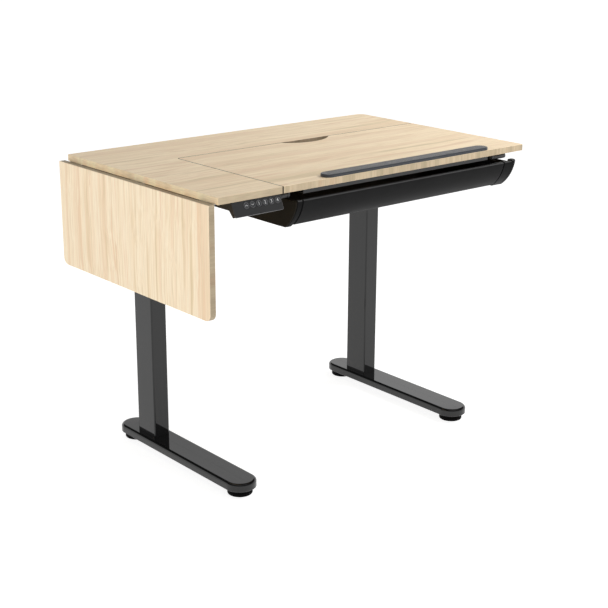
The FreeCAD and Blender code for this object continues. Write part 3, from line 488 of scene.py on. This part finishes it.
def tilt_panel():
    """Tilting panel, with the notch's arc in its rear edge; painted shade on its edges along the seam."""
    low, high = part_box("tilt_board")
    notch_x = notch_middle()
    r = ((NOTCH_CHORD / 2) ** 2 + NOTCH_DEPTH ** 2) / (2 * NOTCH_DEPTH)
    spread = math.asin(NOTCH_CHORD / 2 / r)
    centre_y = high.y - NOTCH_DEPTH + r
    angles = [spread - 2 * spread * k / NOTCH_STEPS for k in range(NOTCH_STEPS + 1)]
    bite = [(notch_x + r * math.sin(a), centre_y - r * math.cos(a), 0.0) for a in angles]
    right = [(high.x, low.y, PANEL_CORNER_R), (high.x, high.y, CORNER_R)]
    loop = corner_loop([(low.x, low.y, CORNER_R)] + right + bite + [(low.x, high.y, SEAM_CORNER_R)])
    piece = slab("tilting_panel", loop, "z", rim(low.z, high.z, EDGE_R),
                 [WOOD_PANEL, EDGE_PANEL, RAW_EDGE, PAINTED_SEAM_SHADE], "tilt_panel")
    raw, seam = 2, 3
    paint_edges(piece, "z")
    for face in piece.data.polygons:
        middle, normal = face.center, face.normal
        if abs(normal.z) > FLAT:
            continue
        by_side = normal.x < -TURNED and middle.x < low.x + SEAM_CORNER_R
        by_rear = normal.y > TURNED and middle.y > high.y - SEAM_CORNER_R
        # the faces along the seam take the painted shade, save at the notch
        if abs(middle.x - notch_x) < NOTCH_CHORD / 2 and middle.y > high.y - NOTCH_DEPTH - EDGE_R:
            face.material_index = raw
        elif by_side or by_rear:
            face.material_index = seam
    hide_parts("tilt_board")


def drop_leaf():
    low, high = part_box("leaf_board")
    loop = corner_loop([(low.y, low.z, LEAF_CORNER_R), (high.y, low.z, LEAF_CORNER_R),
                        (high.y, high.z, CORNER_R), (low.y, high.z, CORNER_R)], 14)
    piece = slab("drop_leaf", loop, "x", rim(low.x, high.x - HINGE_SEAT_GAP, LEAF_EDGE_R),
                 [WOOD_LEAF, EDGE_LEAF_SHADED], "leaf")
    paint_edges(piece, "x")
    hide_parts("leaf_board")


def stadium_x(low, high):
    """Outline, long in X, whose ends are all but half circles."""
    r = (high.y - low.y) / 2 - 1e-5
    return corner_loop([(low.x, low.y, r), (high.x, low.y, r), (high.x, high.y, r), (low.x, high.y, r)], 24)


def book_stop():
    """Rubber bar with rounded ends, its top ribbed round and round."""
    low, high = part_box("book_stop")
    loop = stadium_x(low, high)
    heights = [(low.z, STOP_FOOT), (low.z + STOP_FOOT, 0.0)]
    heights += [(high.z - short, d) for short, d in quarter(STOP_EDGE_R, 6)]
    groove_z = high.z - GROOVE_DEPTH
    for k in range(RIB_COUNT):
        d = RIB_FIRST + k * RIB_PITCH
        heights += [(high.z, d), (groove_z, d + GROOVE_RUN), (groove_z, d + 2 * GROOVE_RUN),
                    (high.z, d + 3 * GROOVE_RUN)]
    piece = slab("ribbed_book_stop", loop, "z", heights, [STOP_RUBBER, STOP_FACE], "tilt_panel",
                 50.0)
    middle_y = (low.y + high.y) / 2
    half = (high.y - low.y) / 2 - RIB_FIRST
    for face in piece.data.polygons:
        x, y, z = face.center
        ribbed = abs(y - middle_y) < half and low.x + RIB_FIRST < x < high.x - RIB_FIRST
        face.material_index = 1 if ribbed and z > high.z - 2 * GROOVE_DEPTH else 0
    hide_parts("book_stop")


# ---------------------------------------------------------------- legs
def pad_places(side):
    """Y of a foot's two pads, each at the middle of a round end."""
    low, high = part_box("foot_" + side)
    r = (high.x - low.x) / 2
    return (low.y + r, high.y - r)


def foot(side):
    """Pressed steel foot: flat top, rounded rim, hollow underneath, with two stud bosses."""
    low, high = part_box("foot_" + side)
    cx = (low.x + high.x) / 2
    w = high.x - low.x
    r = w / 2 - 1e-6
    loop = corner_loop([(cx - w / 2, low.y, r), (cx + w / 2, low.y, r),
                        (cx + w / 2, high.y, r), (cx - w / 2, high.y, r)], 28)
    outside = [(low.z, FOOT_LIP_R), (low.z + FOOT_LIP_R, 0.0)]
    outside += [(high.z - short, d) for short, d in quarter(FOOT_EDGE_R, 10)]
    inside = [(z - FOOT_WALL if z > low.z + FOOT_WALL else low.z, d + FOOT_WALL) for z, d in outside]
    bm = bmesh.new()
    path = list(reversed(inside)) + outside
    stack(bm, "z", [(z, inset(loop, d)) for z, d in path])
    for y in pad_places(side):
        stack(bm, "z", [(low.z + BOSS_BEVEL, circle(cx, y, BOSS_R - BOSS_BEVEL)),
                        (low.z + 2 * BOSS_BEVEL, circle(cx, y, BOSS_R)),
                        (high.z - FOOT_WALL, circle(cx, y, BOSS_R))])
    piece = finish_mesh("foot_pressing_" + side, bm, BLACK_PAINT, "base", 40.0)
    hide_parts("foot_" + side)


def levelling_pads():
    """Turned pads with a gripped lower ring."""
    low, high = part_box("levelling_pads")
    pad_r = high.y - pad_places("left")[1]
    count = PAD_LOBES * 8
    grip_top = low.z + PAD_GRIP_TOP
    # height, what the radius gains, and the share of the full lobe depth
    profile = [(low.z, -0.0022, 0.0), (low.z + 0.0006, -0.0012, 0.3), (low.z + 0.0022, 0.0, 1.0),
               (grip_top - 0.001, 0.0, 1.0), (grip_top, -0.0008, 0.5), (grip_top + 0.0002, -0.0016, 0.0),
               (high.z - 0.0016, -0.0018, 0.0), (high.z - 0.0005, -0.0023, 0.0), (high.z, -0.0034, 0.0)]

    def loop(cx, cy, r, wave):
        turns = [2 * math.pi * k / count for k in range(count)]
        reach = [r - wave * (0.5 - 0.5 * math.cos(PAD_LOBES * t)) for t in turns]
        return [Vector((cx + d * math.cos(t), cy + d * math.sin(t))) for t, d in zip(turns, reach)]

    bm = bmesh.new()
    for side in ("left", "right"):
        box_low, box_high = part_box("foot_" + side)
        cx = (box_low.x + box_high.x) / 2
        for cy in pad_places(side):
            stack(bm, "z", [(z, loop(cx, cy, pad_r + gain, PAD_LOBE_DEPTH * share))
                            for z, gain, share in profile])
    piece = finish_mesh("gripped_pads", bm, PAD_PLASTIC, "base", 50.0)
    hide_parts("levelling_pads")


def column(name, node_name, body, corner_r, wall):
    """Bent rectangular tube, open at both ends."""
    low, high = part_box(node_name)
    corners = [(low.x, low.y), (high.x, low.y), (high.x, high.y), (low.x, high.y)]
    outer = corner_loop([(x, y, corner_r) for x, y in corners])
    burr = TUBE_BURR
    around = [(low.z + burr, 0.0), (high.z - burr, 0.0), (high.z, burr), (high.z, wall - burr),
              (high.z - burr, wall), (low.z + burr, wall), (low.z, wall - burr), (low.z, burr)]
    bm = bmesh.new()
    stack(bm, "z", [(z, inset(outer, d) if d else outer) for z, d in around], close=True)
    piece = finish_mesh(name, bm, BLACK_PAINT, body, 40.0)
    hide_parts(node_name)


# ---------------------------------------------------------------- drawer
def arc_y(depth, z):
    """How far forward the curved front stands at a height, for a layer at a depth behind its face."""
    low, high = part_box("drawer_front")
    centre_y = low.y + math.sqrt(ARC_R ** 2 - ARC_RISE ** 2)
    return centre_y - math.sqrt((ARC_R - depth) ** 2 - (high.z + ARC_RISE - z) ** 2)


def front_section(z0, z1, front, back, corner_r, top_r):
    """Outline in (y, z) of a layer of the curved front between two depths, its corners rounded."""
    start, end = z0 + 2 * corner_r, z1 - 2 * top_r
    heights = [start + (end - start) * k / 24 for k in range(25)]
    face = [(arc_y(front, z), z, 0.0) for z in heights]
    rear = [(arc_y(back, z), z, 0.0) for z in reversed(heights)]
    corners = [(arc_y(front, z0), z0, corner_r)] + face + [(arc_y(front, z1), z1, top_r)]
    corners += [(arc_y(back, z1), z1, corner_r)] + rear + [(arc_y(back, z0), z0, corner_r)]
    return corner_loop(corners, 5)


def paint_top_highlight(piece):
    """Painted highlight: lighter plastic where the top edge turns over to the face."""
    piece.data.materials.append(DRAWER_EDGE_HIGHLIGHT)
    for face in piece.data.polygons:
        if face.normal.y < -0.35 and 0.3 < face.normal.z < 0.93:
            face.material_index = 1


def moulding(name, section, ends, rim_r, material):
    """Length of a drawer moulding between two ends in X."""
    return slab(name, section, "x", rim(*ends, rim_r), material, "drawer", 30.0)


def drawer_front():
    low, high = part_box("drawer_front")
    section = front_section(low.z, high.z, 0.0, FRONT_WALL, FRONT_CORNER_R, FRONT_TOP_R)
    piece = moulding("drawer_front_moulding", section, (low.x, high.x), FRONT_RIM_R, DRAWER_PLASTIC)
    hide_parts("drawer_front")
    paint_top_highlight(piece)


def drawer_cap_left():
    """Left cap, and beyond it the edge of the drawer's side, joined by a web set back in the gap."""
    low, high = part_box("drawer_cap_left")
    cap_x = low.x + FLANGE_T + FLANGE_GAP
    section = front_section(low.z, high.z, 0.0, FRONT_WALL, FRONT_CORNER_R, FRONT_TOP_R)
    piece = moulding("drawer_cap_left_moulding", section, (cap_x, high.x), FRONT_RIM_R, CAP_PLASTIC)
    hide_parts("drawer_cap_left")
    paint_top_highlight(piece)
    web = front_section(low.z + WEB_INSET, high.z - WEB_INSET, 2 * WEB_INSET, FRONT_WALL,
                        WEB_CORNER_R, WEB_CORNER_R)
    moulding("drawer_cap_left_web", web, (low.x + FLANGE_T / 2, cap_x + FRONT_RIM_R), WEB_RIM_R,
             CAP_PLASTIC)
    flange = front_section(low.z + FLANGE_TRIM, high.z - 2 * FLANGE_TRIM, FLANGE_TRIM, FRONT_WALL,
                           FLANGE_CORNER_R, FRONT_TOP_R)
    moulding("drawer_side_edge", flange, (low.x, low.x + FLANGE_T), FLANGE_RIM_R, TRAY_PAINT)


def drawer_cap_right():
    """Right cap: the front's section, then a deeper roll whose end is rounded off."""
    low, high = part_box("drawer_cap_right")
    start = high.x - ROLL_W
    bm = bmesh.new()
    loop = anticlockwise(front_section(low.z, high.z - ROLL_RISE, CAP_SETBACK, FRONT_WALL,
                                       FRONT_CORNER_R, FRONT_TOP_R))
    stack(bm, "x", [(w, inset(loop, d)) for w, d in rim(low.x, start + ROLL_LAP, FRONT_RIM_R)])

    def roll(w, drop, depth):
        section = front_section(low.z + drop, high.z - drop, depth, ROLL_DEPTH, FRONT_CORNER_R, FRONT_TOP_R)
        return w, anticlockwise(section)

    rings = [roll(start + back, short, short) for short, back in quarter(FRONT_RIM_R, 4)]
    rings += [roll(high.x - short, d / 6, d) for short, d in quarter(ROLL_R, 16)]
    stack(bm, "x", rings)
    piece = finish_mesh("drawer_cap_right_moulding", bm, CAP_PLASTIC, "drawer", 30.0)
    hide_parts("drawer_cap_right")
    paint_top_highlight(piece)


# ---------------------------------------------------------------- handset
FACE_DOWN = Vector((0, -math.sin(LEAN), -math.cos(LEAN)))
FACE_OUT = Vector((0, -math.cos(LEAN), math.sin(LEAN)))


def face_matrix():
    """Frame of the handset's face: X along it, Y down it, Z out of it, from its upper left corner."""
    low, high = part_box("handset_plate")
    start = Vector((low.x, high.y - PLATE_T * math.cos(LEAN), high.z))
    turn = Matrix((Vector((1, 0, 0)), FACE_DOWN, FACE_OUT)).transposed().to_4x4()
    return Matrix.Translation(start) @ turn


def carved(bm, cutters):
    """Cuts closed meshes out of a bmesh and gives the result as a bmesh."""
    def loose(made):
        mesh = bpy.data.meshes.new("tool")
        made.to_mesh(mesh)
        made.free()
        tool = bpy.data.objects.new("tool", mesh)
        bpy.context.scene.collection.objects.link(tool)
        return tool

    bmesh.ops.recalc_face_normals(bm, faces=bm.faces)
    blank = loose(bm)
    tools = []
    for cutter in cutters:
        bmesh.ops.recalc_face_normals(cutter, faces=cutter.faces)
        tools.append(loose(cutter))
        knife = blank.modifiers.new("cut", "BOOLEAN")
        knife.operation = "DIFFERENCE"
        knife.solver = "EXACT"
        knife.object = tools[-1]
    bpy.context.view_layer.update()
    result = bmesh.new()
    evaluated = blank.evaluated_get(bpy.context.evaluated_depsgraph_get())
    result.from_mesh(bpy.data.meshes.new_from_object(evaluated))
    for tool in [blank] + tools:
        bpy.data.objects.remove(tool)
    return result


def button_centres(into):
    """Buttons' centres in the face's frame."""
    centres = []
    for k in range(1, 7):
        low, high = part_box("button_%d" % k)
        middle = into @ ((low + high) / 2)
        centres.append((middle.x, middle.y))
    return centres


def stroke(bm, points, width, w0, w1):
    """Flat line of a given width through points in the face's plane."""
    for (ax, ay), (bx, by) in zip(points, points[1:]):
        run = Vector((bx - ax, by - ay)).normalized() * (width / 2)
        side = Vector((-run.y, run.x))
        a, b = Vector((ax, ay)) - run, Vector((bx, by)) + run
        stack(bm, "z", [(w, [a - side, b - side, b + side, a + side]) for w in (w0, w1)])


def digit(text, height):
    """Plain numeral in relief, centred and turned to read the right way up on the face, as a bmesh."""
    curve = bpy.data.curves.new("numeral", "FONT")
    curve.body = text
    curve.size = height
    curve.align_x = "CENTER"
    curve.align_y = "CENTER"
    curve.extrude = PRINT_T / 2
    holder = bpy.data.objects.new("numeral", curve)
    bpy.context.scene.collection.objects.link(holder)
    bpy.context.view_layer.update()
    made = bmesh.new()
    made.from_mesh(bpy.data.meshes.new_from_object(holder))
    bpy.data.objects.remove(holder)
    bmesh.ops.transform(made, matrix=Matrix.Diagonal((1, -1, 1, 1)), verts=made.verts)
    return made


def face_plate(at_face, centres):
    """Face plate with six bevelled button holes and a painted highlight on its rim at its lower and right
    edges.
    """
    low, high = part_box("handset_plate")
    width = high.x - low.x
    face_h = (high.z - low.z) / math.cos(LEAN)
    loop = anticlockwise(corner_loop([(0, 0, PLATE_TOP_R), (width, 0, PLATE_TOP_R),
                                      (width, face_h, PLATE_LOW_R), (0, face_h, PLATE_LOW_R)]))
    blank = bmesh.new()
    stack(blank, "z", [(w, inset(loop, d) if d else loop) for w, d in rim(-PLATE_T, 0.0, PLATE_RIM_R, 3)])
    cutters = []
    hole_r = BUTTON_R + BUTTON_GAP
    for cx, cy in centres:
        cutter = bmesh.new()
        stack(cutter, "z", [(-2 * PLATE_T, circle(cx, cy, hole_r, 64)),
                            (CUT_PAST - HOLE_BEVEL, circle(cx, cy, hole_r, 64)),
                            (CUT_PAST, circle(cx, cy, hole_r + HOLE_BEVEL, 64))])
        cutters.append(cutter)
    plate = carved(blank, cutters)
    plate.transform(at_face)
    piece = finish_mesh("handset_face_plate", plate, [HANDSET_FACE, HANDSET_RIM_HIGHLIGHT], "lift_frame",
                        30.0)
    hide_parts("handset_plate")
    into = at_face.inverted()
    for face in piece.data.polygons:
        middle = into @ face.center
        tilted = 0.15 < face.normal.dot(FACE_OUT) < 0.98 and middle.z > -HIGHLIGHT_RIM_DEPTH
        if tilted and (middle.x > width - HIGHLIGHT_RIM or middle.y > face_h - HIGHLIGHT_RIM):
            face.material_index = 1


def button_cap(number, cx, cy, at_face):
    cap = bmesh.new()
    dish = [(BUTTON_PROUD - drop, d) for drop, d in BUTTON_DISH]
    profile = rim(BUTTON_PROUD - BUTTON_DEPTH, BUTTON_PROUD, BUTTON_EDGE_R) + dish
    stack(cap, "z", [(w, circle(cx, cy, BUTTON_R - d, 64)) for w, d in profile])
    cap.transform(at_face)
    piece = finish_mesh("button_cap_%d" % number, cap, BUTTON_PLASTIC, "button_%d_body" % number,
                        40.0)
    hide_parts("button_%d" % number)


def button_ring(number, cx, cy, at_face):
    """Printed ring near the button's edge."""
    ring = bmesh.new()
    outer_r = BUTTON_R - RING_INSET
    outer, inner = circle(cx, cy, outer_r, 64), circle(cx, cy, outer_r - RING_W, 64)
    root, top = BUTTON_PROUD - PRINT_ROOT, BUTTON_PROUD + PRINT_T
    stack(ring, "z", [(root, outer), (top, outer), (top, inner), (root, inner)], close=True)
    ring.transform(at_face)
    finish_mesh("button_ring_%d" % number, ring, RING_INK, "button_%d_body" % number,
                40.0)


def button_mark(number, cx, cy, at_face):
    """Printed arrow, up or down, or a numeral."""
    if number <= ARROW_BUTTONS:
        mark = bmesh.new()
        tip = ARROW_RISE if number == ARROW_BUTTONS else -ARROW_RISE
        points = [(cx - ARROW_HALF, cy - tip / 2), (cx, cy + tip / 2), (cx + ARROW_HALF, cy - tip / 2)]
        stroke(mark, points, ARROW_STROKE, BUTTON_PROUD - PRINT_ROOT, BUTTON_PROUD + PRINT_T)
    else:
        mark = digit(str(number - ARROW_BUTTONS), DIGIT_HEIGHT)
        mark.transform(Matrix.Translation((cx, cy, BUTTON_PROUD)))
    mark.transform(at_face)
    finish_mesh("button_mark_%d" % number, mark, INK, "button_%d_body" % number, 40.0)


def handset():
    """Face plate, the buttons, and the ring and mark printed on each."""
    at_face = face_matrix()
    centres = button_centres(at_face.inverted())
    face_plate(at_face, centres)
    for number, (cx, cy) in enumerate(centres, 1):
        for make in (button_cap, button_ring, button_mark):
            make(number, cx, cy, at_face)


# ---------------------------------------------------------------- carried-over CAD nodes
SOFTENED = (
    "side_brackets", "outriggers", "left_side_rail", "tilt_arm_left", "tilt_arm_right", "hinge_blocks",
    "panel_rail", "crossbeam", "gear_housing_left", "gear_housing_right", "control_box", "handset_body",
    "slide_hangers", "drawer_tray",
)
ARRIS = 0.0004


def soften(node_object):
    """Small arris along a node's sharp edges."""
    weld = node_object.modifiers.new("weld", "WELD")
    weld.merge_threshold = 1e-5
    arris = node_object.modifiers.new("arris", "BEVEL")
    arris.width = ARRIS
    arris.segments = 2
    arris.limit_method = "ANGLE"
    arris.angle_limit = math.radians(40)


def dress_nodes():
    """A material for every CAD node, and an arris on those that show their own shape."""
    for entry in frame["record"]["subparts"]:
        node_object = frame["nodes"][entry["node"]]
        material = SLOT_MATERIALS[entry["material_slot"]]
        if node_object.data.materials:
            for k in range(len(node_object.data.materials)):
                node_object.data.materials[k] = material
        else:
            node_object.data.materials.append(material)
    for name in SOFTENED:
        soften(frame["nodes"][name])


# ---------------------------------------------------------------- stage
CAMERA_AT = (-2.33517, -2.76393, 1.5459)
CAMERA_YAW, CAMERA_PITCH, CAMERA_ROLL = math.radians(40.46), math.radians(-17.64), math.radians(0.32)
CAMERA_LENS = 77.01         # millimetres, on a 36 mm wide sensor
FLOOR_TONE = 0.40
FLOOR_GLOW = 0.86           # with the lights, brings the floor to white
STUDIO_GLOW = 1.2
# brightness of the studio by the sine of the height above the horizon: a white sweep, a greyer
# band over it, a dark wall and a half-bright ceiling
STUDIO_TONES = ((0.0, 1.0), (0.345, 0.93), (0.376, 1.0), (0.384, 0.58), (0.43, 0.74),
                (0.447, 0.05), (0.78, 0.05), (0.92, 0.5))


def camera():
    """Camera above and to the left of the desk, with a long lens."""
    yaw, pitch, roll = CAMERA_YAW, CAMERA_PITCH, CAMERA_ROLL
    ahead = Vector((math.sin(yaw) * math.cos(pitch), math.cos(yaw) * math.cos(pitch), math.sin(pitch)))
    right = Vector((math.cos(yaw), -math.sin(yaw), 0))
    up = right.cross(ahead)
    side = math.cos(roll) * right + math.sin(roll) * up
    top = -math.sin(roll) * right + math.cos(roll) * up
    data = bpy.data.cameras.new("camera")
    data.sensor_width = 36.0
    data.lens = CAMERA_LENS
    data.clip_end = 200.0
    seen = bpy.data.objects.new("camera", data)
    bpy.context.scene.collection.objects.link(seen)
    turn = Matrix((side, top, -ahead)).transposed().to_4x4()
    seen.matrix_world = Matrix.Translation(CAMERA_AT) @ turn
    bpy.context.scene.camera = seen


def area(name, where, target, size, power):
    """Soft light aimed at a point; it isn't mirrored in the paint."""
    data = bpy.data.lights.new(name, "AREA")
    data.shape = "RECTANGLE"
    data.size, data.size_y = size
    data.energy = power
    lamp = bpy.data.objects.new(name, data)
    bpy.context.scene.collection.objects.link(lamp)
    aim = (Vector(target) - Vector(where)).to_track_quat("-Z", "Y")
    lamp.matrix_world = Matrix.Translation(where) @ aim.to_matrix().to_4x4()
    lamp.visible_glossy = False


def studio_floor():
    """Pale floor, a little self-lit, so that it stays white to the horizon."""
    bpy.ops.mesh.primitive_plane_add(size=80.0, location=(0, 0, 0))
    floor = bpy.context.object
    floor.name = "floor"
    material, _, shader = new_tree("floor_white")
    shader.inputs["Base Color"].default_value = grey(FLOOR_TONE)
    shader.inputs["Roughness"].default_value = 0.9
    shader.inputs["Emission Color"].default_value = grey(1.0)
    shader.inputs["Emission Strength"].default_value = FLOOR_GLOW
    floor.data.materials.append(material)


def studio():
    """Surroundings whose brightness depends on the height above the horizon."""
    world = bpy.data.worlds.new("studio")
    bpy.context.scene.world = world
    world.use_nodes = True
    tree = world.node_tree
    tree.nodes.clear()
    direction = node(tree, "ShaderNodeTexCoord").outputs["Generated"]
    height = node(tree, "ShaderNodeSeparateXYZ", {0: direction}).outputs["Z"]
    glow = ramp(tree, height, [(z, grey(tone)) for z, tone in STUDIO_TONES])
    light = node(tree, "ShaderNodeBackground", {"Color": glow, "Strength": STUDIO_GLOW})
    node(tree, "ShaderNodeOutputWorld", {"Surface": light.outputs[0]})


def lights():
    """A key light over the right front corner and a weaker one far to the left."""
    area("key", (2.1, -0.9, 2.7), (0.1, 0, 0.85), (1.6, 1.6), 66.0)
    area("side", (-3.6, -1.4, 2.4), (0, 0, 0.6), (2.6, 2.6), 22.0)
    bpy.context.scene.view_settings.view_transform = "Standard"
    bpy.context.scene.view_settings.look = "None"


camera()
studio_floor()
studio()
lights()
dress_nodes()
fixed_top()
tilt_panel()
drop_leaf()
book_stop()
for side in ("left", "right"):
    foot(side)
    column("column_tube_" + side, "column_outer_" + side, "base", TUBE_R, TUBE_WALL)
    column("lifting_tube_" + side, "column_inner_" + side, "lift_frame", TUBE_R - TUBE_WALL,
           TUBE_WALL - TUBE_CLEARANCE)
levelling_pads()
drawer_front()
drawer_cap_left()
drawer_cap_right()
handset()
